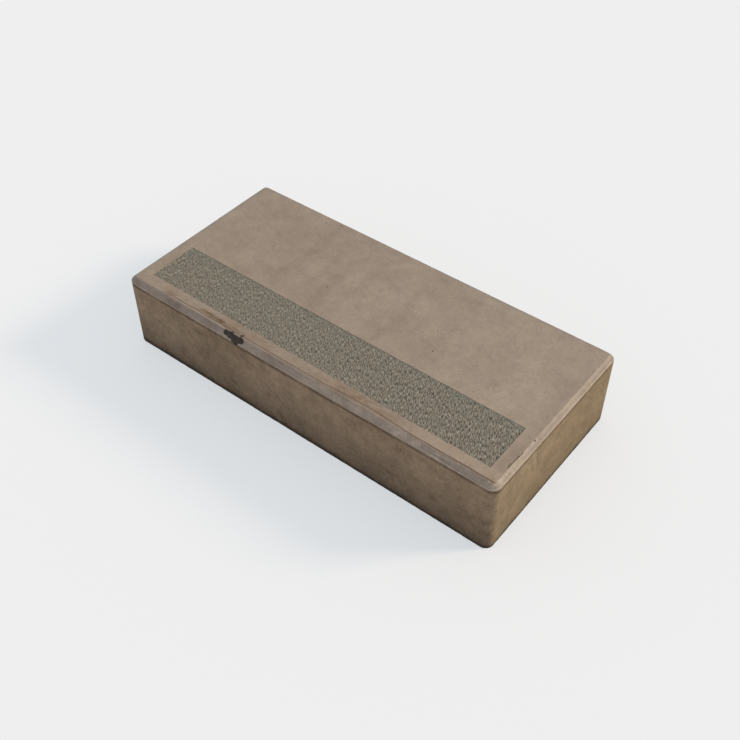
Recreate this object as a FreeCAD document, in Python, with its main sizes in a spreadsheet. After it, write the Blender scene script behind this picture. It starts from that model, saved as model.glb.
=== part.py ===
import FreeCAD, Part
import Sketcher
import os

# Concrete block step: one solid precast block, with a sunk strip for grip along the front of its tread.
# Frame, in millimetres: the origin is the centre of the underside, +X runs along the step's length,
# +Y from the front face to the back face, and +Z up.

PARTS_FOLDER = "parts"
NODE = "block_step"

# alias, value, what it measures
DIMENSIONS = (
    ("block_length", 750, "end face to end face"),
    ("block_depth", 350, "front face to back face"),
    ("block_height", 145, "rise, from the underside to the tread"),
    ("corner_radius", 15, "rounding of the four upright corners"),
    ("top_chamfer", 8.5, "45 degree chamfer all round the tread"),
    ("strip_front_margin", 31, "front face to the strip's front edge"),
    ("strip_end_margin", 30, "end face to the strip's end, the same at both ends"),
    ("strip_width", 94, "the strip's front edge to its back edge"),
    ("strip_recess", 1.5, "the tread down to the strip's floor"),
)
SIZES = {alias: value for alias, value, meaning in DIMENSIONS}
VOLUME_TOLERANCE = 1e-6  # relative


def make_sheet(doc):
    """The spreadsheet whose cells drive every size."""
    sheet = doc.addObject("Spreadsheet::Sheet", "Dimensions")
    for row, (alias, value, meaning) in enumerate(DIMENSIONS, start=1):
        sheet.set(f"A{row}", meaning)
        sheet.set(f"B{row}", str(value))
        sheet.setAlias(f"B{row}", alias)
    doc.recompute()


def origin_plane(body, role):
    """The body's own origin plane of that role."""
    return next(plane for plane in body.Origin.OriginFeatures if plane.Role == role)


def level_sketch(body, name):
    """An empty sketch on the body's XY plane."""
    sketch = body.newObject("Sketcher::SketchObject", name)
    sketch.AttachmentSupport = [(origin_plane(body, "XY_Plane"), "")]
    sketch.MapMode = "FlatFace"
    return sketch


def add_rectangle(sketch, x_low, y_low, x_high, y_high):
    """Four joined lines, level and upright. Returns their numbers: front, right, back and left."""
    corners = [
        FreeCAD.Vector(x, y, 0)
        for x, y in ((x_low, y_low), (x_high, y_low), (x_high, y_high), (x_low, y_high))
    ]
    lines = [
        sketch.addGeometry(Part.LineSegment(start, end), False)
        for start, end in zip(corners, corners[1:] + corners[:1])
    ]
    for line, following in zip(lines, lines[1:] + lines[:1]):
        sketch.addConstraint(Sketcher.Constraint("Coincident", line, 2, following, 1))
    front, right, back, left = lines
    for line in (front, back):
        sketch.addConstraint(Sketcher.Constraint("Horizontal", line))
    for line in (right, left):
        sketch.addConstraint(Sketcher.Constraint("Vertical", line))
    return lines


def drive(sketch, constraint, expression):
    """Adds a dimension to the sketch and binds it to the spreadsheet."""
    index = sketch.addConstraint(constraint)
    sketch.setExpression(f"Constraints[{index}]", expression)


def sketch_outline(body):
    """The block's plan, centred on the origin."""
    half_length = SIZES["block_length"] / 2
    half_depth = SIZES["block_depth"] / 2
    sketch = level_sketch(body, "PlanOutline")
    front, right, back, left = add_rectangle(
        sketch, -half_length, -half_depth, half_length, half_depth
    )
    # The ends of the front and back lines at opposite corners lie evenly about the origin.
    sketch.addConstraint(Sketcher.Constraint("Symmetric", front, 1, back, 1, -1, 1))
    drive(
        sketch,
        Sketcher.Constraint("DistanceX", front, 1, front, 2, 2 * half_length),
        "Dimensions.block_length",
    )
    drive(
        sketch,
        Sketcher.Constraint("DistanceY", right, 1, right, 2, 2 * half_depth),
        "Dimensions.block_depth",
    )
    return sketch


def sketch_strip(body):
    """The strip's plan, at the height of the tread, set in from the front face and both end faces."""
    x_high = SIZES["block_length"] / 2 - SIZES["strip_end_margin"]
    y_low = -SIZES["block_depth"] / 2 + SIZES["strip_front_margin"]
    width = SIZES["strip_width"]
    sketch = level_sketch(body, "StripOutline")
    sketch.setExpression("AttachmentOffset.Base.z", "Dimensions.block_height")
    front, right, back, left = add_rectangle(sketch, -x_high, y_low, x_high, y_low + width)
    half_length = "Dimensions.block_length / 2 - Dimensions.strip_end_margin"
    drive(sketch, Sketcher.Constraint("DistanceX", front, 1, -1, 1, x_high), half_length)
    drive(sketch, Sketcher.Constraint("DistanceX", -1, 1, front, 2, x_high), half_length)
    drive(
        sketch,
        Sketcher.Constraint("DistanceY", right, 1, right, 2, width),
        "Dimensions.strip_width",
    )
    drive(
        sketch,
        Sketcher.Constraint("DistanceY", front, 1, -1, 1, -y_low),
        "Dimensions.block_depth / 2 - Dimensions.strip_front_margin",
    )
    return sketch


def is_upright(edge):
    """Whether an edge runs straight up."""
    return edge.BoundBox.ZLength > 0.999 * edge.Length


def top_face_name(shape):
    """The name of the shape's highest face, the level one on top."""
    heights = {f"Face{n}": face.BoundBox.ZMin for n, face in enumerate(shape.Faces, start=1)}
    return max(heights, key=heights.get)


def make_block(doc):
    """The casting: the plan raised to the rise, its upright corners rounded, the tread's edges chamfered
    and the strip sunk into the tread."""
    body = doc.addObject("PartDesign::Body", "BlockStep")
    body.Label = NODE
    body.Placement = FreeCAD.Placement(FreeCAD.Vector(0, 0, 0), FreeCAD.Rotation())

    blank = body.newObject("PartDesign::Pad", "Blank")
    blank.Profile = sketch_outline(body)
    blank.setExpression("Length", "Dimensions.block_height")
    doc.recompute()

    corners = body.newObject("PartDesign::Fillet", "UprightCorners")
    upright = [f"Edge{n}" for n, edge in enumerate(blank.Shape.Edges, start=1) if is_upright(edge)]
    corners.Base = (blank, upright)
    corners.setExpression("Radius", "Dimensions.corner_radius")
    doc.recompute()

    arris = body.newObject("PartDesign::Chamfer", "TreadChamfer")
    arris.Base = (corners, [top_face_name(corners.Shape)])
    arris.setExpression("Size", "Dimensions.top_chamfer")
    doc.recompute()

    strip = body.newObject("PartDesign::Pocket", "StripRecess")
    strip.Profile = sketch_strip(body)
    strip.setExpression("Length", "Dimensions.strip_recess")
    strip.Reversed = False  # cuts against the sketch's normal, down into the block
    doc.recompute()
    return body, arris, strip


def check_recess(before, after):
    """The recess has to take out exactly its own box."""
    length = SIZES["block_length"] - 2 * SIZES["strip_end_margin"]
    expected = length * SIZES["strip_width"] * SIZES["strip_recess"]
    removed = before.Shape.Volume - after.Shape.Volume
    if abs(removed - expected) > VOLUME_TOLERANCE * expected:
        raise RuntimeError(f"the recess took out {removed:.1f} mm3, not {expected:.1f} mm3")


def check_document(doc, body):
    """No object may have failed, and the body has to be one valid solid."""
    failed = [o.Name for o in doc.Objects if "Invalid" in o.State or "Error" in o.State]
    if failed:
        raise RuntimeError(f"these objects failed: {failed}")
    shape = body.Shape
    if shape.isNull() or not shape.isValid() or len(shape.Solids) != 1:
        raise RuntimeError(f"{body.Label} is not one valid solid")


def export(body):
    """Writes the body's shape to its own STEP file."""
    os.makedirs(PARTS_FOLDER, exist_ok=True)
    body.Shape.exportStep(os.path.join(PARTS_FOLDER, f"{body.Label}.step"))


doc = FreeCAD.newDocument("ConcreteBlockStep")
make_sheet(doc)
block, chamfered, recessed = make_block(doc)
doc.recompute()
check_recess(chamfered, recessed)
check_document(doc, block)
export(block)
box = block.Shape.BoundBox
print(f"{block.Label}: {box.XLength:.1f} x {box.YLength:.1f} x {box.ZLength:.1f} mm")
print(f"volume {block.Shape.Volume / 1e6:.3f} litres")
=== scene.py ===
import math

import bmesh
import bpy
import numpy as np
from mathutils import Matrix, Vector
from mathutils.geometry import delaunay_2d_cdt


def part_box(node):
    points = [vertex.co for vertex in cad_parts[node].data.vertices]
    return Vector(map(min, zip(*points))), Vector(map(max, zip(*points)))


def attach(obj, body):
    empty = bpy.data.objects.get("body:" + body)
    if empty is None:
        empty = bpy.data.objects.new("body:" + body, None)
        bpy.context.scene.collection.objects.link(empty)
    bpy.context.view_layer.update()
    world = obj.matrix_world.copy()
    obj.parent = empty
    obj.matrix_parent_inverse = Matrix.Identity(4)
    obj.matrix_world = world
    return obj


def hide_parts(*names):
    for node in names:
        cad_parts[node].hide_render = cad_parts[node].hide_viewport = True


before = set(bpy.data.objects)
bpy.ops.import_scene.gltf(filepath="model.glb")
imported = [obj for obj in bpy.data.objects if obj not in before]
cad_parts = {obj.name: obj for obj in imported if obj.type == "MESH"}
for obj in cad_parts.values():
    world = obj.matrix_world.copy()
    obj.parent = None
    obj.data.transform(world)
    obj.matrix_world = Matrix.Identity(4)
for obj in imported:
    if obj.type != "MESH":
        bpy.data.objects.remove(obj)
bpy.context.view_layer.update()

# ------------------------------------------------
# The casting. One precast block of dense, earth-moist concrete, vibrated in a steel mould upside down:
# the mould gives it smooth faces, rounded upright corners, a chamfered tread and the sunk grip strip.
# Sizes are in metres; the block's own box comes from the CAD.
# ------------------------------------------------

block_low, block_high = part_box("block_step")
half_length = (block_high.x - block_low.x) / 2
half_depth = (block_high.y - block_low.y) / 2
tread_height = block_high.z
corner_radius = 0.015
chamfer = 0.0085
arris_radius = 0.0014

grip_end_margin = 0.030
grip_front_margin = 0.031
grip_width = 0.094
grip_recess = 0.0015
grip_pitch = 0.00110
grip_draft = 0.0004
grip_x = half_length - grip_end_margin
grip_front = -half_depth + grip_front_margin
grip_back = grip_front + grip_width
grip_floor = tread_height - grip_recess

# The chamfer's foot sags along the front's left half: how far, from which x and over what length, and
# the height of the wall up to which nothing sags.
chamfer_sag = 0.0026
sag_start_x = 0.30
sag_length = 0.26
sag_floor = 0.085

# How far apart the mesh's points lie: along each wall, near the damage, round a corner, and on the bed.
front_step = 0.0021
end_step = 0.0022
hidden_step = 0.0030
fine_step = 0.0010
fine_reach = 0.024
spall_x = -0.132
gash_y = -0.108
corner_steps = 12
bed_step = 0.011
bed_inset = 0.006
pinhole_ring_step = 0.0005
# The same on the tread: the step, the nearest and the furthest from an edge, and the seed.
tread_lattices = ((0.0018, 0.0010, 0.0035, 11), (0.0036, 0.0035, 0.0120, 12), (0.0070, 0.0120, 1.0, 13))
bed_seed = 14

# Where the casting is damaged: the centre, the half sizes along x, y and z, and the depth of each dent.
spall_dents = (
    ((-0.1480, -0.1715, 0.1425), (0.0065, 0.0060, 0.0050), 0.0030),
    ((-0.1385, -0.1695, 0.1410), (0.0080, 0.0070, 0.0060), 0.0034),
    ((-0.1270, -0.1705, 0.1390), (0.0090, 0.0075, 0.0065), 0.0040),
    ((-0.1165, -0.1690, 0.1405), (0.0070, 0.0065, 0.0055), 0.0032),
    ((-0.1240, -0.1745, 0.1345), (0.0060, 0.0040, 0.0040), 0.0016),
    ((-0.1190, -0.1625, 0.1450), (0.0045, 0.0035, 0.0040), 0.0012),
)
gash_dents = (
    ((0.3643, -0.1255, 0.1450), (0.0013, 0.0065, 0.0040), 0.0014),
    ((0.3648, -0.1165, 0.1450), (0.0012, 0.0060, 0.0040), 0.0012),
    ((0.3654, -0.1065, 0.1450), (0.0013, 0.0070, 0.0040), 0.0013),
    ((0.3665, -0.0950, 0.1450), (0.0010, 0.0060, 0.0030), 0.0007),
)
pinhole_dents = (
    ((-0.2046, 0.1499, 0.1450), (0.0015, 0.0015, 0.0020), 0.0014),
    ((0.1200, 0.0420, 0.1450), (0.0011, 0.0011, 0.0020), 0.0010),
    ((0.1420, -0.0020, 0.1450), (0.0012, 0.0012, 0.0020), 0.0010),
    ((-0.0900, 0.0150, 0.1450), (0.0011, 0.0011, 0.0020), 0.0009),
)
# How deep a point has to lie in each before it takes the full colour of the damage.
full_spall_depth = 0.0012
full_gash_depth = 0.0006
full_pinhole_depth = 0.0005


def graded_stops(start, end, coarse, fine, centre, reach):
    """Places from start to end, coarse apart, or fine apart within reach of the centre."""
    stops = [start]
    direction = math.copysign(1, end - start)
    while abs(end - stops[-1]) > coarse:
        closeness = 1 - min(1, max(0, (abs(stops[-1] - centre) - reach) / (4 * coarse)))
        stops.append(stops[-1] + direction * (coarse + (fine - coarse) * closeness))
    return stops


def chamfer_drop(x, way):
    """How much lower the chamfer's foot lies than its drawn height: it sags along the front's left half."""
    frontness = max(0.0, -way[1]) ** 2
    along = min(1.0, max(0.0, (sag_start_x - x) / sag_length))
    to_corner = min(1.0, (x + half_length) / (2 * corner_radius))
    return chamfer_sag * frontness * to_corner * along * along * (3 - 2 * along)


def plan_stations():
    """The stations round the plan: for each, a point of the corner centres' rectangle and the way out."""
    reach_x, reach_y = half_length - corner_radius, half_depth - corner_radius
    bases, ways = [], []

    def straight(stops, place, way):
        for stop in stops:
            bases.append(place(stop))
            ways.append(way)

    def corner(x, y, first_angle):
        for step in range(1, corner_steps):
            angle = first_angle + math.radians(90 * step / corner_steps)
            bases.append((x, y))
            ways.append((math.cos(angle), math.sin(angle)))

    front_stops = graded_stops(-reach_x, reach_x, front_step, fine_step, spall_x, fine_reach)
    straight(front_stops, lambda s: (s, -reach_y), (0, -1))
    straight([reach_x], lambda s: (s, -reach_y), (0, -1))
    corner(reach_x, -reach_y, -math.pi / 2)
    right_stops = graded_stops(-reach_y, reach_y, end_step, fine_step, gash_y, fine_reach)
    straight(right_stops, lambda s: (reach_x, s), (1, 0))
    straight([reach_y], lambda s: (reach_x, s), (1, 0))
    corner(reach_x, reach_y, 0)
    back_stops = graded_stops(reach_x, -reach_x, hidden_step, hidden_step, 0, 0)
    straight(back_stops, lambda s: (s, reach_y), (0, 1))
    straight([-reach_x], lambda s: (s, reach_y), (0, 1))
    corner(-reach_x, reach_y, math.pi / 2)
    left_stops = graded_stops(reach_y, -reach_y, hidden_step, hidden_step, 0, 0)
    straight(left_stops, lambda s: (-reach_x, s), (-1, 0))
    straight([-reach_y], lambda s: (-reach_x, s), (-1, 0))
    corner(-reach_x, -reach_y, math.pi)
    return np.array(bases), np.array(ways)


def wall_profile():
    """The face's section from the bed up over the chamfer to the tread: for each level, how far it is
    set in, its height and how much it belongs to the bottom edge and to an arris."""
    # Each arris is a bend of 45 degrees. It starts a turn's length before the sharp corner and ends as
    # far beyond it, which on the chamfer's slope is 0.71 of a turn across and up. One level lies midway.
    chamfer_foot = tread_height - chamfer
    turn = arris_radius * math.tan(math.radians(22.5))
    levels = [(0.0012, 0.0, 1, 0), (0.0004, 0.0006, 1, 0), (0.0, 0.0018, 1, 0), (0.0, 0.0036, 0.8, 0)]
    levels += [(0.0, 0.0060, 0.5, 0), (0.0, 0.0100, 0.2, 0)]
    levels += [(0.0, height, 0, 0) for height in np.linspace(0.018, chamfer_foot - 0.010, 10)]
    levels += [(0.0, chamfer_foot - 0.0055, 0, 0), (0.0, chamfer_foot - 0.0030, 0, 0.3)]
    levels += [(0.0, chamfer_foot - 0.0015, 0, 0.7), (0.0, chamfer_foot - turn, 0, 1)]
    levels += [(0.12 * turn, chamfer_foot + 0.18 * turn, 0, 1)]
    slope_start, slope_end = 0.71 * turn, chamfer - 0.71 * turn
    for share in np.linspace(0, 1, 8):
        inset = slope_start + (slope_end - slope_start) * share
        nearness = abs(2 * share - 1) ** 3
        levels.append((inset, chamfer_foot + inset, 0, nearness))
    tread_start = chamfer + turn
    levels += [(chamfer - 0.18 * turn, tread_height - 0.12 * turn, 0, 1), (tread_start, tread_height, 0, 1)]
    levels += [(tread_start + 0.0011, tread_height, 0, 0.5), (tread_start + 0.0024, tread_height, 0, 0)]
    return levels


def border_points(half_x, low_y, high_y, count_x, count_y):
    """Points round a rectangle, anticlockwise from its front left corner."""
    xs = np.linspace(-half_x, half_x, count_x + 1)
    ys = np.linspace(low_y, high_y, count_y + 1)
    front = [(x, low_y) for x in xs[:-1]]
    right = [(half_x, y) for y in ys[:-1]]
    back = [(x, high_y) for x in xs[:0:-1]]
    left = [(-half_x, y) for y in ys[:0:-1]]
    return front + right + back + left


def lattice_points(pitch, keep, seed):
    """Points a pitch apart over the plan, each moved a little at random, where keep(x, y) is true."""
    chance = np.random.default_rng(seed)
    xs, ys = np.meshgrid(
        np.arange(-half_length, half_length, pitch), np.arange(-half_depth, half_depth, pitch)
    )
    xs = xs + chance.uniform(-0.2, 0.2, xs.shape) * pitch
    ys = ys + chance.uniform(-0.2, 0.2, ys.shape) * pitch
    kept = keep(xs, ys)
    return list(zip(xs[kept], ys[kept]))


def fill_between(loops, inner_points, hole=None):
    """Triangles over the flat area between closed loops of points, using the inner points too."""
    points = [Vector(p) for loop in loops for p in loop] + [Vector(p) for p in inner_points]
    edges, start = [], 0
    for loop in loops:
        edges += [(start + k, start + (k + 1) % len(loop)) for k in range(len(loop))]
        start += len(loop)
    coordinates, _, triangles, origins, _, _ = delaunay_2d_cdt(points, edges, [], 1, 1e-7)
    kept = []
    for triangle in triangles:
        middle = sum((coordinates[k] for k in triangle), Vector((0, 0))) / 3
        if hole is None or not hole(middle):
            kept.append([origins[k][0] for k in triangle])
    return kept


def dent(points, normals, dents, roughness, seed):
    """Presses ellipsoidal dents into the points along their normals. Returns how deep each point went."""
    chance = np.random.default_rng(seed)
    ragged = 1 + roughness * chance.uniform(-1, 1, len(points))
    depth = np.zeros(len(points))
    for centre, half_sizes, deepest in dents:
        reach = np.linalg.norm((points - centre) / half_sizes, axis=1)
        depth = np.maximum(depth, deepest * np.clip(1.25 * (1 - reach**2 * ragged), 0, 1))
    points -= normals * depth[:, None]
    return depth


def block_mesh():
    """The whole casting as one closed mesh, with what the surface tree reads stored on its points."""
    bases, ways = plan_stations()
    around = len(bases)
    points, normals, foot, arris, faces, grip_faces = [], [], [], [], [], []
    drawn_foot = tread_height - chamfer
    drops = [chamfer_drop(x, way) for (x, y), way in zip(bases, ways)]

    levels = wall_profile()
    for number, (inset, height, foot_share, arris_share) in enumerate(levels):
        ring = bases + (corner_radius - inset) * ways
        up_wall = min(1.0, max(0.0, (height - sag_floor) / (drawn_foot - sag_floor)))
        share = up_wall if height <= drawn_foot else max(0.0, 1 - inset / chamfer)
        points += [(x, y, height - share * drop) for (x, y), drop in zip(ring, drops)]
        tilt = math.radians(0 if height <= drawn_foot else 45 if inset < chamfer else 90)
        normals += [(x * math.cos(tilt), y * math.cos(tilt), math.sin(tilt)) for x, y in ways]
        foot += [foot_share] * around
        arris += [arris_share] * around
        if number:
            low, high = (number - 1) * around, number * around
            for k in range(around):
                after = (k + 1) % around
                faces.append((low + k, low + after, high + after, high + k))
    wall_total = len(points)

    def add_flat(flat_points, height):
        first = len(points)
        points.extend((x, y, height) for x, y in flat_points)
        normals.extend([(0, 0, 1 if height > 0 else -1)] * len(flat_points))
        foot.extend([0] * len(flat_points))
        arris.extend([0] * len(flat_points))
        return first

    count_x = round(2 * grip_x / grip_pitch)
    count_y = round(grip_width / grip_pitch)
    rim = border_points(grip_x, grip_front, grip_back, count_x, count_y)
    tread_loop = bases + (corner_radius - levels[-1][0]) * ways
    ring_inset = levels[-1][0]

    def edge_distance(x, y):
        outer = np.minimum(half_length - np.abs(x), half_depth - np.abs(y)) - ring_inset
        strip_x = np.abs(x) - grip_x
        strip_y = np.maximum(grip_front - y, y - grip_back)
        return np.minimum(outer, np.maximum(strip_x, strip_y))

    def band(low, high):
        return lambda x, y: (edge_distance(x, y) > low) & (edge_distance(x, y) <= high)

    tread_points = []
    for step, low, high, seed in tread_lattices:
        tread_points += lattice_points(step, band(low, high), seed)
    for (x, y, _), _, _ in pinhole_dents:
        tread_points += [
            (x + ring * pinhole_ring_step * math.cos(turn), y + ring * pinhole_ring_step * math.sin(turn))
            for ring in range(5)
            for turn in np.arange(0, math.tau, math.tau / max(1, 6 * ring)) + 0.1 * ring
        ]
    rim_first = add_flat(rim, tread_height)
    add_flat(tread_points, tread_height)
    tread_first = wall_total - around

    def tread_index(k):
        if k < around:
            return tread_first + k
        return rim_first + k - around

    def in_strip(point):
        return abs(point.x) < grip_x and grip_front < point.y < grip_back

    for triangle in fill_between([tread_loop, rim], tread_points, in_strip):
        faces.append(tuple(tread_index(k) for k in triangle))

    xs = np.linspace(-grip_x + grip_draft, grip_x - grip_draft, count_x + 1)
    ys = np.linspace(grip_front + grip_draft, grip_back - grip_draft, count_y + 1)
    floor_first = add_flat([(x, y) for y in ys for x in xs], grip_floor)
    row = count_x + 1
    front = [floor_first + i for i in range(count_x)]
    right = [floor_first + j * row + count_x for j in range(count_y)]
    back = [floor_first + count_y * row + i for i in range(count_x, 0, -1)]
    left = [floor_first + j * row for j in range(count_y, 0, -1)]
    floor_border = front + right + back + left
    total = len(rim)
    for k in range(total):
        after = (k + 1) % total
        faces.append((rim_first + k, rim_first + after, floor_border[after], floor_border[k]))
    for j in range(count_y):
        for i in range(count_x):
            corner = floor_first + j * row + i
            grip_faces.append((corner, corner + 1, corner + row + 1, corner + row))

    def on_bed(x, y):
        return np.minimum(half_length - np.abs(x), half_depth - np.abs(y)) > bed_inset

    bed_points = lattice_points(bed_step, on_bed, bed_seed)
    bed_first = add_flat(bed_points, 0.0)
    for triangle in fill_between([bases + (corner_radius - levels[0][0]) * ways], bed_points):
        faces.append(tuple(k if k < around else bed_first + k - around for k in triangle))

    points, normals = np.array(points), np.array(normals, float)
    real_foot = np.full(len(points), drawn_foot)
    real_foot[:wall_total] -= np.tile(drops, len(levels))
    spall = dent(points, normals, spall_dents, 0.35, 21)
    gash = dent(points, normals, gash_dents, 0.25, 22)
    pinhole = dent(points, normals, pinhole_dents, 0.0, 23)

    mesh = bpy.data.meshes.new("block")
    mesh.from_pydata(points.tolist(), [], faces + grip_faces)
    stored = {
        "foot": foot,
        "arris": arris,
        "chamfer_foot": real_foot,
        "spall": np.clip(spall / full_spall_depth, 0, 1),
        "gash": np.clip(gash / full_gash_depth, 0, 1),
        "pinhole": np.clip(pinhole / full_pinhole_depth, 0, 1),
    }
    for name, values in stored.items():
        mesh.attributes.new(name, "FLOAT", "POINT").data.foreach_set("value", np.array(values, np.float32))
    is_grip = np.arange(len(mesh.polygons)) >= len(faces)
    mesh.attributes.new("grip", "BOOLEAN", "FACE").data.foreach_set("value", is_grip)
    shaped = bmesh.new()
    shaped.from_mesh(mesh)
    bmesh.ops.recalc_face_normals(shaped, faces=shaped.faces)
    shaped.to_mesh(mesh)
    shaped.free()
    return mesh


class Field:
    """A number at each point of a node tree, so that a formula reads as one."""

    def __init__(self, tree, socket):
        self.tree, self.socket = tree, socket

    def math(self, operation, *others):
        node = self.tree.nodes.new("ShaderNodeMath")
        node.operation = operation
        for slot, value in zip(node.inputs, (self, *others)):
            if isinstance(value, Field):
                self.tree.links.new(value.socket, slot)
            else:
                slot.default_value = value
        return Field(self.tree, node.outputs[0])

    def __add__(self, other):
        return self.math("ADD", other)

    def __sub__(self, other):
        return self.math("SUBTRACT", other)

    def __mul__(self, other):
        return self.math("MULTIPLY", other)

    def __truediv__(self, other):
        return self.math("DIVIDE", other)

    def __neg__(self):
        return self.math("MULTIPLY", -1)

    def __rsub__(self, other):
        return -self + other

    def least(self, other):
        return self.math("MINIMUM", other)

    def most(self, other):
        return self.math("MAXIMUM", other)

    def size(self):
        return self.math("ABSOLUTE")

    def ramp(self, low, high, start=0.0, end=1.0):
        """Runs smoothly from start to end as the field goes from low to high, and no further."""
        node = self.tree.nodes.new("ShaderNodeMapRange")
        node.interpolation_type = "SMOOTHSTEP"
        self.tree.links.new(self.socket, node.inputs["Value"])
        for name, value in (("From Min", low), ("From Max", high), ("To Min", start), ("To Max", end)):
            if isinstance(value, Field):
                self.tree.links.new(value.socket, node.inputs[name])
            else:
                node.inputs[name].default_value = value
        return Field(self.tree, node.outputs["Result"])


def vector_of(tree, *fields):
    """A vector socket from three fields or numbers."""
    node = tree.nodes.new("ShaderNodeCombineXYZ")
    for slot, value in zip(node.inputs, fields):
        if isinstance(value, Field):
            tree.links.new(value.socket, slot)
        else:
            slot.default_value = value
    return node.outputs[0]


def parts_of(tree, vector_socket):
    """The x, y and z of a vector, as fields."""
    node = tree.nodes.new("ShaderNodeSeparateXYZ")
    tree.links.new(vector_socket, node.inputs[0])
    return [Field(tree, output) for output in node.outputs]


def noise(tree, vector_socket, per_metre, detail=2.0, roughness=0.5, distortion=0.0):
    """Cloudy noise about 0.5, with so many waves to the metre."""
    node = tree.nodes.new("ShaderNodeTexNoise")
    tree.links.new(vector_socket, node.inputs["Vector"])
    names = ("Scale", "Detail", "Roughness", "Distortion")
    for name, value in zip(names, (per_metre, detail, roughness, distortion)):
        node.inputs[name].default_value = value
    return Field(tree, node.outputs[0])


def stretched(tree, across, along, upward, detail, roughness, distortion=0.0):
    """The same noise at a place made of three fields, each already in waves."""
    return noise(tree, vector_of(tree, across, along, upward), 1.0, detail, roughness, distortion)


def cells(tree, vector_socket, per_metre, output="Distance"):
    """Distance to the nearest of many scattered centres, with so many to the metre, or its colour."""
    node = tree.nodes.new("ShaderNodeTexVoronoi")
    tree.links.new(vector_socket, node.inputs["Vector"])
    node.inputs["Scale"].default_value = per_metre
    return Field(tree, node.outputs[output])


def brushed(tree, x, y, width, length):
    """Short strokes drawn out along one diagonal of the plan, as a stiff brush leaves them."""
    across = (x * brush_way[0] + y * brush_way[1]) / width
    along = (y * brush_way[0] - x * brush_way[1]) / length
    return stretched(tree, across, along, 0.0, 1.0, 0.50, 0.25)


def into_strip(x, y, half, front, back):
    """How far inside the grip strip's outline a place lies, less than nothing outside it."""
    return (half - x.size()).least(y - front).least(back - y)


# The way across the brush strokes, along x and y.
brush_way = (0.855, 0.518)

# What the mould, the brush and the mix leave on the faces: strokes and grit in the strip, arrises that
# are a little worn and wavy, a ragged bottom edge, a faint unevenness all over. All are in metres.
surface_sizes = {
    "Grip half length": grip_x,
    "Grip front": grip_front,
    "Grip back": grip_back,
    "Grip floor height": grip_floor,
    "Stroke width": 0.0013,
    "Stroke length": 0.0068,
    "Grit size": 0.0024,
    "Grit lift": 0.0007,
    "Grit relief": 0.00120,
    "Grit limit": 0.0014,
    "Arris wear": 0.0007,
    "Arris waviness": 0.0010,
    "Foot wear": 0.0004,
    "Break roughness": 0.0022,
    "Face unevenness": 0.0003,
}


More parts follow.
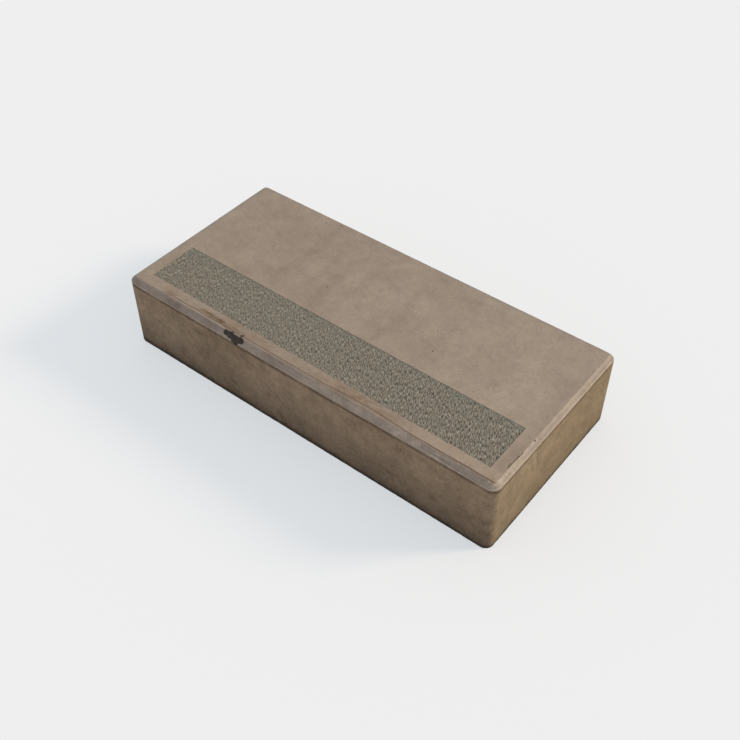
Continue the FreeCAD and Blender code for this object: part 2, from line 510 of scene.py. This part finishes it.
def surface_tree(cast_material, grip_material):
    """The tree that gives the smooth casting its real surface, along its own normals."""
    tree = bpy.data.node_groups.new("cast_surface", "GeometryNodeTree")
    tree.interface.new_socket("Casting", in_out="INPUT", socket_type="NodeSocketGeometry")
    for name, value in surface_sizes.items():
        socket = tree.interface.new_socket(name, in_out="INPUT", socket_type="NodeSocketFloat")
        socket.default_value = value
    tree.interface.new_socket("Casting", in_out="OUTPUT", socket_type="NodeSocketGeometry")
    group_in = tree.nodes.new("NodeGroupInput")
    group_out = tree.nodes.new("NodeGroupOutput")

    def size(name):
        return Field(tree, group_in.outputs[name])

    def stored(name):
        node = tree.nodes.new("GeometryNodeInputNamedAttribute")
        node.data_type = "FLOAT"
        node.inputs["Name"].default_value = name
        return Field(tree, node.outputs["Attribute"])

    position = tree.nodes.new("GeometryNodeInputPosition").outputs[0]
    normal = tree.nodes.new("GeometryNodeInputNormal").outputs[0]
    x, y, z = parts_of(tree, position)

    in_grip = into_strip(x, y, size("Grip half length"), size("Grip front"), size("Grip back"))
    below_tread = z.ramp(tread_height - 0.0003, tread_height - 0.0006)
    above_floor = z.ramp(size("Grip floor height") - 0.001, size("Grip floor height") - 0.0005)
    grip = in_grip.ramp(-0.0005, -0.0001) * below_tread * above_floor
    grip_near = in_grip.ramp(-0.002, 0.001) * z.ramp(0.1, 0.12)

    strokes = brushed(tree, x, y, size("Stroke width"), size("Stroke length"))
    grit = cells(tree, vector_of(tree, x / size("Grit size"), y / size("Grit size"), 0.0), 1.0)
    relief = strokes.ramp(0.30, 0.70, -0.5, 0.5) * 0.85 + grit.ramp(0.1, 0.75, 0.5, -0.5) * 0.35
    grip_rise = grip * (relief * size("Grit relief") + size("Grit lift")).least(size("Grit limit"))

    chips = noise(tree, position, 130.0, 3.0, 0.6).ramp(0.52, 0.75)
    wave = noise(tree, position, 26.0, 2.0, 0.5) - 0.5
    arris = stored("arris")
    worn = arris * (chips * size("Arris wear") + wave * size("Arris waviness"))
    ragged = noise(tree, position, 95.0, 3.0, 0.6).ramp(0.35, 0.8)
    foot_worn = stored("foot") * ragged * size("Foot wear")
    broken = stored("spall") * (noise(tree, position, 420.0, 2.0, 0.6) - 0.5) * size("Break roughness")
    uneven = (noise(tree, position, 14.0, 2.0, 0.5) - 0.5) * size("Face unevenness")
    on_face = stored("foot").ramp(0.0, 0.3, 1.0, 0.0) * grip_near.ramp(0.0, 1.0, 1.0, 0.0)
    uneven_down = uneven.least(0.0) * on_face

    outward = uneven_down - worn.most(0.0) - foot_worn + broken.least(0.0002)
    flat_bed = z.ramp(0.0, 0.0004)
    scale_out = tree.nodes.new("ShaderNodeVectorMath")
    scale_out.operation = "SCALE"
    tree.links.new(normal, scale_out.inputs[0])
    tree.links.new((outward * flat_bed).socket, scale_out.inputs["Scale"])
    add_up = tree.nodes.new("ShaderNodeVectorMath")
    add_up.operation = "ADD"
    tree.links.new(scale_out.outputs[0], add_up.inputs[0])
    tree.links.new(vector_of(tree, 0.0, 0.0, grip_rise), add_up.inputs[1])

    keep_relief = tree.nodes.new("GeometryNodeStoreNamedAttribute")
    keep_relief.data_type = "FLOAT"
    keep_relief.domain = "POINT"
    keep_relief.inputs["Name"].default_value = "relief"
    tree.links.new(group_in.outputs["Casting"], keep_relief.inputs["Geometry"])
    tree.links.new((relief * grip).socket, keep_relief.inputs["Value"])

    move = tree.nodes.new("GeometryNodeSetPosition")
    tree.links.new(keep_relief.outputs[0], move.inputs["Geometry"])
    tree.links.new(add_up.outputs[0], move.inputs["Offset"])
    realize = tree.nodes.new("GeometryNodeRealizeInstances")
    tree.links.new(move.outputs[0], realize.inputs[0])
    cast = tree.nodes.new("GeometryNodeSetMaterial")
    cast.inputs["Material"].default_value = cast_material
    tree.links.new(realize.outputs[0], cast.inputs["Geometry"])
    is_grip = tree.nodes.new("GeometryNodeInputNamedAttribute")
    is_grip.data_type = "BOOLEAN"
    is_grip.inputs["Name"].default_value = "grip"
    gripping = tree.nodes.new("GeometryNodeSetMaterial")
    gripping.inputs["Material"].default_value = grip_material
    tree.links.new(cast.outputs[0], gripping.inputs["Geometry"])
    tree.links.new(is_grip.outputs["Attribute"], gripping.inputs["Selection"])
    tree.links.new(gripping.outputs[0], group_out.inputs[0])
    return tree


def mixed(tree, first, second, share):
    """The colour between two, each a socket or plain numbers, at a share that is a field."""
    node = tree.nodes.new("ShaderNodeMix")
    node.data_type = "RGBA"
    tree.links.new(share.socket, node.inputs["Factor"])
    for name, colour in (("A", first), ("B", second)):
        slot = next(s for s in node.inputs if s.name == name and s.type == "RGBA")
        if isinstance(colour, bpy.types.NodeSocket):
            tree.links.new(colour, slot)
        else:
            slot.default_value = (*colour, 1.0)
    return next(s for s in node.outputs if s.type == "RGBA")


def brightened(tree, colour, field):
    """The colour times a field."""
    node = tree.nodes.new("ShaderNodeVectorMath")
    node.operation = "SCALE"
    tree.links.new(colour, node.inputs[0])
    tree.links.new(field.socket, node.inputs["Scale"])
    return node.outputs[0]


def matt_finish(material, colour, roughness, height, bump_distance):
    """Joins a colour, a roughness and a bump height to the material's shader."""
    tree = material.node_tree
    shader = tree.nodes["Principled BSDF"]
    shader.inputs["Specular IOR Level"].default_value = 0.25
    tree.links.new(colour, shader.inputs["Base Color"])
    tree.links.new(roughness.socket, shader.inputs["Roughness"])
    bump = tree.nodes.new("ShaderNodeBump")
    bump.inputs["Strength"].default_value = 1.0
    bump.inputs["Distance"].default_value = bump_distance
    tree.links.new(height.socket, bump.inputs["Height"])
    tree.links.new(bump.outputs[0], shader.inputs["Normal"])


def stored_mark(tree, name):
    """What was stored on the points under that name."""
    node = tree.nodes.new("ShaderNodeAttribute")
    node.attribute_name = name
    return Field(tree, node.outputs["Fac"])


def near(field, place, half_width, core=0.0):
    """One within core of the place, falling to nothing at half_width from it."""
    return (field - place).size().ramp(half_width, core)


# The colours of the concrete and of what lies on it, with painted highlights and painted shade among them:
# how much red, green and blue light each sends back.
tints = {
    "tread": (0.322, 0.253, 0.194),
    "tread clouds": (0.290, 0.227, 0.172),
    "wall": (0.392, 0.270, 0.174),
    "wall clouds": (0.326, 0.221, 0.138),
    "wall blotches": (0.175, 0.108, 0.063),
    "right end": (0.280, 0.213, 0.135),
    "right end clouds": (0.243, 0.180, 0.108),
    "right end blotches": (0.165, 0.120, 0.066),
    "hidden walls": (0.270, 0.206, 0.148),
    "chamfer": (0.378, 0.284, 0.217),
    "chamfer clouds": (0.302, 0.225, 0.170),
    "chamfer streaks": (0.190, 0.145, 0.115),
    "end chamfer": (0.314, 0.256, 0.201),
    "end chamfer clouds": (0.272, 0.219, 0.169),
    "laitance": (0.130, 0.094, 0.072),
    "trodden corner": (0.235, 0.172, 0.120),
    "worn tread edge": (0.258, 0.222, 0.192),
    "margin stain": (0.190, 0.120, 0.072),
    "clean margin": (0.360, 0.270, 0.200),
    "margin patch": (0.165, 0.095, 0.052),
    "rust": (0.110, 0.064, 0.030),
    "dark lower arris line": (0.115, 0.070, 0.042),
    "painted arris highlight": (0.430, 0.340, 0.255),
    "painted end arris highlight": (0.424, 0.352, 0.282),
    "painted highlight line": (0.420, 0.345, 0.265),
    "soiled upper arris": (0.105, 0.070, 0.047),
    "strip surround": (0.150, 0.130, 0.100),
    "dark_foot": (0.038, 0.025, 0.016),
    "front specks": (0.150, 0.064, 0.030),
    "orange growth": (0.300, 0.120, 0.045),
    "green growth": (0.200, 0.175, 0.060),
    "lime": (0.340, 0.285, 0.190),
    "lime edge": (0.150, 0.108, 0.060),
    "broken place": (0.040, 0.034, 0.029),
    "gash ledge": (0.400, 0.325, 0.240),
    "gash": (0.110, 0.085, 0.045),
    "pinhole": (0.050, 0.038, 0.028),
    "pores": (0.110, 0.080, 0.055),
    "strip painted shade": (0.098, 0.087, 0.067),
    "strip painted highlight": (0.292, 0.257, 0.200),
    "strip painted shade right": (0.062, 0.055, 0.042),
    "strip painted highlight right": (0.332, 0.288, 0.224),
    "strip growth": (0.150, 0.172, 0.136),
    "strip warm patches": (0.240, 0.196, 0.144),
    "pale sand": (0.430, 0.400, 0.330),
    "dark sand": (0.050, 0.045, 0.040),
    "dark grain": (0.028, 0.024, 0.020),
    "strip edge": (0.290, 0.228, 0.172),
}

# Where the marks lie along x, in metres: the centre and the half width, then how wide the full mark is
# to each side of the centre, and how strong it is.
cross_bands = ((-0.172, 0.020), (-0.088, 0.024), (-0.046, 0.016), (0.048, 0.018), (0.142, 0.034))
margin_stains = (
    (-0.118, 0.075, 0.030, 1.0),
    (0.125, 0.100, 0.035, 1.35),
    (0.010, 0.110, 0.0, 0.40),
    (-0.285, 0.035, 0.0, 0.70),
)
margin_patch = (-0.218, 0.085, 0.045)
margin_rust = (-0.170, 0.052, 0.028)
laitance_place = (0.300, 0.075, 0.035)
speckled_foot = (0.010, 0.170, 0.060)
# Where the painted pinhole and the dark grain lie, along x and y, and how high the bumps stand.
end_pinhole = (0.3676, -0.0616)
strip_dark_grain = (0.3265, -0.1390)
bump_height = 0.0004
strip_bump_height = 0.0003


def sum_near(field, marks):
    """How much of all the marks lies at a place."""
    shares = [near(field, *mark[:3]) * (mark[3] if len(mark) > 3 else 1.0) for mark in marks]
    return sum(shares[1:], shares[0])


class Face:
    """Where a place on the casting lies: fields that are one on their own part of it and nothing off it,
    with the noises that several parts share."""

    def __init__(self, tree):
        self.tree = tree
        self.place = tree.nodes.new("ShaderNodeTexCoord").outputs["Object"]
        self.x, self.y, self.z = parts_of(tree, self.place)
        self.above_foot = self.z - stored_mark(tree, "chamfer_foot")
        self.from_front = self.y + half_depth
        self.wall = self.above_foot.ramp(0.0004, -0.0002)
        self.tread = self.z.ramp(tread_height - 0.0006, tread_height - 0.0003)
        self.chamfer = 1.0 - (self.wall + self.tread)
        self.right_wall = self.x.ramp(half_length - 0.006, half_length - 0.001) * self.wall
        self.front_chamfer = self.from_front.ramp(0.0105, 0.0080) * self.chamfer
        self.end_chamfer = self.x.ramp(half_length - 0.012, half_length - 0.008) * self.chamfer
        self.clouds = self.noise(9.0, 3.0, 0.62).ramp(0.3, 0.7)
        self.blotches = self.noise(24.0, 6.0, 0.80)
        self.ragged = self.noise(420.0, 2.0, 0.6) - 0.5
        self.broken_line = stretched(tree, self.x * 30.0, self.y * 30.0, 0.0, 3.0, 0.6)

    def noise(self, per_metre, detail=2.0, roughness=0.5):
        return noise(self.tree, self.place, per_metre, detail, roughness)

    def cells(self, per_metre, output="Distance"):
        return cells(self.tree, self.place, per_metre, output)

    def tinted(self, colour, tint, share):
        """The colour with a share of a named tint laid over it."""
        return mixed(self.tree, colour, tints[tint], share)

    def clouded(self, name, share):
        """A named tint that runs over into its own clouds."""
        return mixed(self.tree, tints[name], tints[name + " clouds"], share)


def wall_colour(face):
    """The walls: brown in front, yellower on the right end, both blotched, and plainer where hidden."""
    front = brightened(face.tree, face.clouded("wall", face.clouds), face.x.ramp(0.02, 0.33, 1.035, 0.94))
    front = face.tinted(front, "wall blotches", face.blotches.ramp(0.48, 0.66) * 0.50)
    end = face.clouded("right end", face.clouds)
    end = face.tinted(end, "right end blotches", face.blotches.ramp(0.50, 0.68) * 0.40)
    walls = mixed(face.tree, front, end, face.right_wall)
    hidden = face.y.ramp(half_depth - 0.012, half_depth - 0.002)
    hidden = hidden.most(face.x.ramp(0.012 - half_length, 0.002 - half_length))
    return face.tinted(walls, "hidden walls", hidden * 0.65)


def chamfer_colour(face):
    """The chamfer: mauve-grey, streaked along its length and lighter towards the right."""
    patches = face.blotches.ramp(0.4, 0.6)
    streaks = stretched(face.tree, face.x * 9.0, face.y * 420.0, face.z * 420.0, 2.0, 0.6).ramp(0.35, 0.7)
    colour = face.tinted(face.clouded("chamfer", patches), "chamfer streaks", streaks * 0.30)
    colour = brightened(face.tree, colour, face.x.ramp(-0.25, 0.11, 0.93, 1.13))
    return mixed(face.tree, colour, face.clouded("end chamfer", patches), face.end_chamfer)


def add_laitance(face, colour):
    """Laitance, dried in fine lines along the front chamfer's right end."""
    lines = stretched(face.tree, face.x * 9.0, face.z * 560.0, 0.0, 1.0, 0.5).ramp(0.48, 0.60)
    layered = face.front_chamfer * near(face.x, *laitance_place) * lines
    return face.tinted(colour, "laitance", layered * 0.42)


def add_tread_wear(face, colour):
    """Faint cross bands on the tread, where the mix was filled and struck off in passes, a trodden near
    right corner, and back and left edges that are worn a little greyer."""
    x, y = face.x, face.y
    bands = sum_near(x, cross_bands)
    patchy = stretched(face.tree, x * 26.0, y * 9.0, 0.0, 4.0, 0.65).ramp(0.32, 0.68)
    behind_strip = y.ramp(grip_back - 0.01, grip_back + 0.03)
    banding = bands * patchy * face.tread * behind_strip
    lighter_right = x.ramp(-0.2, half_length, 0.995, 1.065)
    colour = brightened(face.tree, colour, (banding * -0.11 + 1.0) * lighter_right)
    corner = x.ramp(0.335, 0.362) * y.ramp(0.0, -0.13) * face.tread
    colour = face.tinted(colour, "trodden corner", corner * 0.50)
    edge = x.ramp(-0.357, -0.365).most(y.ramp(0.160, 0.167)) * (1.0 - face.wall)
    return face.tinted(colour, "worn tread edge", edge * 0.55)


def add_margin_stains(face, colour):
    """The margin in front of the strip: trodden, stained in two dark lengths above all, clean towards
    the right, with a brown patch and a slanting streak of rust towards the left."""
    x, from_front = face.x, face.from_front
    margin = face.y.ramp(grip_front + 0.001, grip_front - 0.001) * face.tread
    stain = stretched(face.tree, x * 40.0, face.y * 110.0, 0.0, 4.0, 0.7).ramp(0.40, 0.64)
    lengths = sum_near(x, margin_stains) * from_front.ramp(0.020, 0.030, 1.0, 0.6)
    stained = (stain * 0.6 + 0.4) * (lengths * 0.55 + 0.08)
    colour = face.tinted(colour, "margin stain", margin * stained)
    colour = face.tinted(colour, "clean margin", margin * x.ramp(0.17, 0.27) * 0.55)
    patch = near(x, *margin_patch) * near(from_front, 0.0150, 0.0085, 0.003)
    colour = face.tinted(colour, "margin patch", margin * patch * stain * 0.55)
    from_streak = from_front + (x + 0.169) * 0.087 - 0.0165
    rust = near(x, *margin_rust) * near(from_streak, 0.0, 0.0065, 0.0015)
    return face.tinted(colour, "rust", margin * rust * (stain * 0.5 + 0.4) * 0.85)


def add_arris_wear_and_highlights(face, colour, bevel):
    """Arrises: painted highlights along them, a dark line under the lower one and, on the tread, a soiled
    line behind the upper one, up to which the chamfer's worn colour reaches, with a painted highlight line
    in front of it."""
    x, z, from_front, above_foot = face.x, face.z, face.from_front, face.above_foot
    breaks, on_tread = face.broken_line, face.tread
    # A dark line on the wall just below the chamfer's foot.
    lower_line = near(above_foot, -0.0026, 0.0050, 0.0010) * breaks.ramp(0.30, 0.55, 0.45, 1.0)
    colour = face.tinted(colour, "dark lower arris line", lower_line * face.wall * 0.72)
    # Pale lines on the chamfer just above its foot and along the tread's edge are painted highlights,
    # mostly left out over part of the front.
    arris_highlight = near(above_foot, 0.0006, 0.0016, 0.0004) * face.chamfer
    arris_highlight = arris_highlight.most(near(z, tread_height - 0.0005, 0.0014, 0.0003))
    highlight_gap = from_front.ramp(0.012, 0.008) * x.ramp(0.03, 0.08) * x.ramp(0.28, 0.24)
    arris_highlight = arris_highlight * (highlight_gap * -0.9 + 1.0) * (1.0 - on_tread)
    arris_highlight = arris_highlight * breaks.ramp(0.30, 0.60, 0.45, 1.0)
    colour = face.tinted(colour, "painted arris highlight", arris_highlight * 0.50)

    line_place = near(x, 0.13, 0.09) * 0.0032 + (breaks - 0.5) * 0.0020
    line_place = line_place + x.ramp(0.18, 0.24, 0.0120, 0.0112)
    from_line = from_front - line_place
    lined_length = x.ramp(-0.31, -0.25)
    worn_over = from_line.ramp(0.0006, -0.0004) * on_tread * lined_length
    worn_bevel = brightened(face.tree, bevel, x.ramp(0.0, 0.1, 0.86, 0.74))
    colour = mixed(face.tree, colour, worn_bevel, worn_over * 0.85)
    # Pale lines along the end chamfer's two arrises are painted highlights.
    end_arris_highlight = near(z, 0.1430, 0.0026, 0.0008) + near(above_foot, 0.0012, 0.0020, 0.0005)
    end_arris_highlight = end_arris_highlight * face.end_chamfer * breaks.ramp(0.25, 0.60, 0.5, 1.0)
    colour = face.tinted(colour, "painted end arris highlight", end_arris_highlight * 0.50)
    # A pale line on the tread just in front of the soiled line, towards the left, is a painted highlight on
    # the arris.
    highlight_line = near(from_line, -0.0022, 0.0016, 0.0004) * near(x, -0.210, 0.070, 0.040)
    colour = face.tinted(colour, "painted highlight line", highlight_line * on_tread * 0.50)
    upper_line = near(from_line, 0.0, 0.0021, 0.0005) * on_tread * lined_length
    return face.tinted(colour, "soiled upper arris", upper_line * x.ramp(0.16, 0.24, 0.58, 0.72))


def add_strip_surround(face, colour):
    """A greyer line on the tread, ragged, close round the strip."""
    inside = into_strip(face.x, face.y, grip_x, grip_front, grip_back) + face.ragged * 0.0060
    return face.tinted(colour, "strip surround", inside.ramp(-0.0002, 0.0006) * face.tread * 0.60)


def add_dark_foot_and_growth(face, colour):
    """Darker towards the foot of the walls, darkest in a line along it, specks low on the front, and growth
    low on the right end.
    """
    z = face.z
    dark_foot = face.noise(45.0, 5.0, 0.75) - 0.5
    # The walls are painted darker towards the bottom, and darkest in a ragged line along the foot.
    darker_low = (z + dark_foot * 0.03).ramp(0.0, 0.10, -0.40, 0.0) * (face.right_wall * -0.60 + 1.0)
    colour = brightened(face.tree, colour, darker_low + (z + dark_foot * 0.02).ramp(0.0, 0.030, 0.80, 1.0))
    foot_line = (z + dark_foot * 0.012 + face.x.ramp(0.0, 0.3) * 0.0022).ramp(0.0140, 0.0050)
    colour = face.tinted(colour, "dark_foot", foot_line * 0.90)
    specks = face.noise(190.0, 2.0, 0.6).ramp(0.58, 0.68)
    low_front = (1.0 - face.right_wall) * z.ramp(0.040, 0.014) * near(face.x, *speckled_foot)
    colour = face.tinted(colour, "front specks", low_front * specks * 0.55)
    spots = face.noise(75.0)
    low_right = face.right_wall * z.ramp(0.065, 0.015)
    colour = face.tinted(colour, "orange growth", low_right * spots.ramp(0.60, 0.72) * 0.45)
    return face.tinted(colour, "green growth", low_right * spots.ramp(0.42, 0.32) * 0.45)


def add_lime_run(face, colour):
    """A run of lime down the right end, slanting a little, pale with a dark edge."""
    run_centre = (0.126 - face.z) * 0.26 - 0.0712
    from_run = (face.y - run_centre).size()
    run_length = face.z.ramp(0.084, 0.096) * face.z.ramp(0.1350, 0.1310) * face.right_wall
    colour = face.tinted(colour, "lime", from_run.ramp(0.0080, 0.0020) * run_length * 0.55)
    return face.tinted(colour, "lime edge", near(from_run, 0.0080, 0.0030) * run_length * 0.35)


def add_damage(face, colour):
    """The broken place and the gash, both dark, the gash's pale ledge, and the pinholes."""
    tree, x, y = face.tree, face.x, face.y
    broken = stored_mark(tree, "spall").ramp(0.12, 0.65)
    broken = broken * face.noise(330.0, 2.0, 0.6).ramp(0.20, 0.55, 0.70, 1.0)
    colour = face.tinted(colour, "broken place", broken * 0.94)
    from_gash = x - ((y + 0.127) * 0.100 + 0.3637)
    ledge = from_gash.ramp(0.0004, 0.0014) * near(y, -0.114, 0.020, 0.012) * (1.0 - face.wall)
    colour = face.tinted(colour, "gash ledge", ledge * 0.45)
    gash = near(from_gash, 0.0, 0.0011, 0.0004) * near(y, -0.114, 0.017, 0.010) * face.tread
    gash = gash.most(stored_mark(tree, "gash").ramp(0.1, 0.8))
    colour = face.tinted(colour, "gash", gash * 0.80)
    pinhole = near(x, end_pinhole[0], 0.0018, 0.0006) * near(y, end_pinhole[1], 0.0020, 0.0007)
    pinhole = stored_mark(tree, "pinhole").ramp(0.2, 0.9).most(pinhole)
    return face.tinted(colour, "pinhole", pinhole * 0.88)


def cast_concrete():
    """Smooth as-cast faces: warm grey-brown, clouded, finely grained and pored, browner and dirtier down
    the sides and darker towards their foot, with a mauve-grey chamfer, painted highlights along the
    arrises, stains along the front and a dark line in the bottom edge."""
    material = bpy.data.materials.new("cast_concrete")
    material.use_nodes = True
    tree = material.node_tree
    face = Face(tree)
    bevel = chamfer_colour(face)
    colour = mixed(tree, face.clouded("tread", face.clouds), wall_colour(face), face.wall)
    colour = mixed(tree, colour, bevel, face.chamfer)
    colour = add_laitance(face, colour)
    colour = add_tread_wear(face, colour)
    colour = add_margin_stains(face, colour)
    colour = add_arris_wear_and_highlights(face, colour, bevel)
    colour = add_strip_surround(face, colour)
    colour = add_dark_foot_and_growth(face, colour)
    colour = add_lime_run(face, colour)
    colour = add_damage(face, colour)

    pores = face.cells(60.0).ramp(0.085, 0.050) * face.noise(23.0).ramp(0.53, 0.60)
    colour = face.tinted(colour, "pores", pores * 0.6)
    pits = face.cells(170.0).ramp(0.20, 0.11) * face.noise(34.0).ramp(0.49, 0.60)
    colour = face.tinted(colour, "pores", pits * (face.wall * 0.20 + 0.60))
    mottle = face.noise(30.0, 6.0, 0.96)
    flecks = face.noise(300.0, 3.0, 0.7)
    grain = face.noise(1300.0, 2.0, 0.6)
    spread = (mottle - 0.5) * (face.wall * 0.90 + face.chamfer * 0.40 + 0.95)
    colour = brightened(tree, colour, spread + flecks * 0.16 + grain * 0.16 + 0.84)
    height = grain * 0.5 + flecks * 0.5 + mottle * 0.8 - pores * 0.8
    matt_finish(material, colour, flecks.ramp(0.3, 0.7, 0.82, 0.94), height, bump_height)
    return material


def grip_concrete():
    """The strip's rough, brushed face: greenish grey, with painted shade in the hollows of the strokes and
    a painted highlight on their crests, more so to the right, with grains of sand, and patches of green
    growth."""
    material = bpy.data.materials.new("grip_concrete")
    material.use_nodes = True
    tree = material.node_tree
    face = Face(tree)
    x, y = face.x, face.y
    strokes = brushed(tree, x, y, surface_sizes["Stroke width"], surface_sizes["Stroke length"])
    # The hollows of the strokes are painted in shade and their crests in highlight, following the strokes
    # and relief of the surface, with more contrast to the right.
    highlight_share = strokes.ramp(0.27, 0.73) * 0.88 + stored_mark(tree, "relief").ramp(-0.4, 0.4) * 0.12
    sharper = x.ramp(-0.20, 0.30)
    painted_shade = mixed(tree, tints["strip painted shade"], tints["strip painted shade right"], sharper)
    painted_highlight = mixed(tree, tints["strip painted highlight"], tints["strip painted highlight right"], sharper)
    colour = mixed(tree, painted_shade, painted_highlight, highlight_share)
    growth = face.noise(22.0, 3.0, 0.6).ramp(0.54, 0.72) + near(y, grip_back, 0.016) * 0.7
    colour = face.tinted(colour, "strip growth", growth * 0.28)
    colour = face.tinted(colour, "strip warm patches", face.noise(16.0).ramp(0.55, 0.72) * 0.15)
    sand = face.cells(420.0, "Color")
    colour = face.tinted(colour, "pale sand", sand.ramp(0.82, 0.90) * 0.40)
    colour = face.tinted(colour, "dark sand", sand.ramp(0.16, 0.08) * 0.50)
    grain = face.noise(1500.0, 2.0, 0.6)
    colour = brightened(tree, colour, grain * 0.3 + 0.85)
    dark_grain = near(x, strip_dark_grain[0], 0.0024, 0.0010) * near(y, strip_dark_grain[1], 0.0026, 0.0010)
    colour = face.tinted(colour, "dark grain", dark_grain * 0.85)
    # Along its edges the strip runs out raggedly into the smooth face.
    inside = into_strip(x, y, grip_x, grip_front, grip_back) + face.ragged * 0.0060
    colour = face.tinted(colour, "strip edge", inside.ramp(0.0010, 0.0002) * 0.8)
    height = grain * 0.3 + sand * 0.3
    matt_finish(material, colour, grain.ramp(0.3, 0.7, 0.82, 0.95), height, strip_bump_height)
    return material


cast_material = cast_concrete()
grip_material = grip_concrete()
casting = bpy.data.objects.new("casting", block_mesh())
bpy.context.scene.collection.objects.link(casting)
surfacing = casting.modifiers.new("surface", "NODES")
surfacing.node_group = surface_tree(cast_material, grip_material)
for item in surfacing.node_group.interface.items_tree:
    if item.in_out == "INPUT" and item.name in surface_sizes:
        surfacing[item.identifier] = surface_sizes[item.name]

surfaced = casting.evaluated_get(bpy.context.evaluated_depsgraph_get())
block_step = bpy.data.objects.new("concrete_block_step", bpy.data.meshes.new_from_object(surfaced))
casting.modifiers.remove(surfacing)
bpy.data.objects.remove(casting)
bpy.context.scene.collection.objects.link(block_step)
block_step.data.shade_smooth()
block_step.data.set_sharp_from_angle(angle=math.radians(50))
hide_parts("block_step")
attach(block_step, "root")

# ------------------------------------------------
# The floor. A plain pale floor that isn't part of the step: it keeps the step's soft shadow, and sends
# little light back onto the walls.
# ------------------------------------------------

floor_half_width = 6.0
floor_gap = 0.0002
floor_colour = (0.863, 0.863, 0.863)
floor_lit_colour = (0.940, 0.863, 0.800)
floor_glow_colour = (0.816, 0.863, 0.9015)
floor_glow_share = 0.62
floor_bounce_colour = (0.30, 0.30, 0.30)


def seen_rays(tree):
    """One on the rays that show a thing to the eye, nothing on those that only carry its light on."""
    outputs = tree.nodes.new("ShaderNodeLightPath").outputs
    seen = Field(tree, outputs["Is Camera Ray"]).most(Field(tree, outputs["Is Glossy Ray"]))
    return seen.most(Field(tree, outputs["Is Transmission Ray"]))


def pale_floor():
    """Near white to the eye, over half of it its own light, so that the shadow on it stays faint. The
    lit and the glowing part add up to floor_colour where the full light falls."""
    material = bpy.data.materials.new("pale_floor")
    material.use_nodes = True
    tree = material.node_tree
    tree.nodes.clear()
    seen = seen_rays(tree)
    lit = tree.nodes.new("ShaderNodeBsdfDiffuse")
    lit.inputs["Color"].default_value = (*floor_lit_colour, 1.0)
    glow = tree.nodes.new("ShaderNodeEmission")
    glow.inputs["Color"].default_value = (*floor_glow_colour, 1.0)
    shown = tree.nodes.new("ShaderNodeMixShader")
    shown.inputs["Fac"].default_value = floor_glow_share
    tree.links.new(lit.outputs[0], shown.inputs[1])
    tree.links.new(glow.outputs[0], shown.inputs[2])
    dim = tree.nodes.new("ShaderNodeBsdfDiffuse")
    dim.inputs["Color"].default_value = (*floor_bounce_colour, 1.0)
    either = tree.nodes.new("ShaderNodeMixShader")
    tree.links.new(seen.socket, either.inputs["Fac"])
    tree.links.new(dim.outputs[0], either.inputs[1])
    tree.links.new(shown.outputs[0], either.inputs[2])
    output = tree.nodes.new("ShaderNodeOutputMaterial")
    tree.links.new(either.outputs[0], output.inputs["Surface"])
    return material


floor_mesh = bpy.data.meshes.new("floor")
floor_corners = [
    (along * floor_half_width, across * floor_half_width, block_low.z - floor_gap)
    for along, across in ((-1, -1), (1, -1), (1, 1), (-1, 1))
]
floor_mesh.from_pydata(floor_corners, [], [(0, 1, 2, 3)])
floor_mesh.materials.append(pale_floor())
floor = bpy.data.objects.new("floor", floor_mesh)
bpy.context.scene.collection.objects.link(floor)

# ------------------------------------------------
# The light. A broad, low, warm lamp from behind and to the right, and a plain, slightly cool surround.
# Together they give a level surface a light of one, so that a colour shows as it is written.
# ------------------------------------------------

sun_elevation = math.radians(27.4)
sun_bearing = math.radians(43.4)
sun_width = math.radians(15)
level_light_from_sun = (0.36, 0.30, 0.23)

sun_light = bpy.data.lights.new("low_sun", "SUN")
sun_light.energy = level_light_from_sun[0] * math.pi / math.sin(sun_elevation)
sun_light.color = [share / level_light_from_sun[0] for share in level_light_from_sun]
sun_light.angle = sun_width
sun = bpy.data.objects.new("low_sun", sun_light)
towards_sun = Vector(
    (
        math.cos(sun_elevation) * math.cos(sun_bearing),
        math.cos(sun_elevation) * math.sin(sun_bearing),
        math.sin(sun_elevation),
    )
)
sun.rotation_euler = towards_sun.to_track_quat("Z", "Y").to_euler()
bpy.context.scene.collection.objects.link(sun)

world = bpy.data.worlds.new("surround")
bpy.context.scene.world = world
world.use_nodes = True
surround = world.node_tree
surround.nodes.clear()
ambient = surround.nodes.new("ShaderNodeBackground")
ambient.inputs["Color"].default_value = (*(1 - share for share in level_light_from_sun), 1.0)
backdrop = surround.nodes.new("ShaderNodeBackground")
backdrop.inputs["Color"].default_value = (*floor_colour, 1.0)
either_world = surround.nodes.new("ShaderNodeMixShader")
surround.links.new(seen_rays(surround).socket, either_world.inputs["Fac"])
surround.links.new(ambient.outputs[0], either_world.inputs[1])
surround.links.new(backdrop.outputs[0], either_world.inputs[2])
world_output = surround.nodes.new("ShaderNodeOutputWorld")
surround.links.new(either_world.outputs[0], world_output.inputs["Surface"])
bpy.context.scene.view_settings.view_transform = "Standard"

# ------------------------------------------------
# The camera. It looks down at 45 degrees from the front right, through a 50 mm lens.
# ------------------------------------------------

camera_azimuth = math.radians(38.2)
camera_elevation = math.radians(45.0)
camera_distance = 2.397 * 2 * half_length
camera_aim = Vector((0.001, 0.0234, 0.0)) * 2 * half_length
camera_lens = 50

camera = bpy.data.objects.new("camera", bpy.data.cameras.new("camera"))
camera.data.lens = camera_lens
camera.data.sensor_width = 36
towards_camera = Vector(
    (
        math.cos(camera_elevation) * math.sin(camera_azimuth),
        -math.cos(camera_elevation) * math.cos(camera_azimuth),
        math.sin(camera_elevation),
    )
)
camera.location = camera_aim + camera_distance * towards_camera
camera.rotation_euler = towards_camera.to_track_quat("Z", "Y").to_euler()
bpy.context.scene.collection.objects.link(camera)
bpy.context.scene.camera = camera
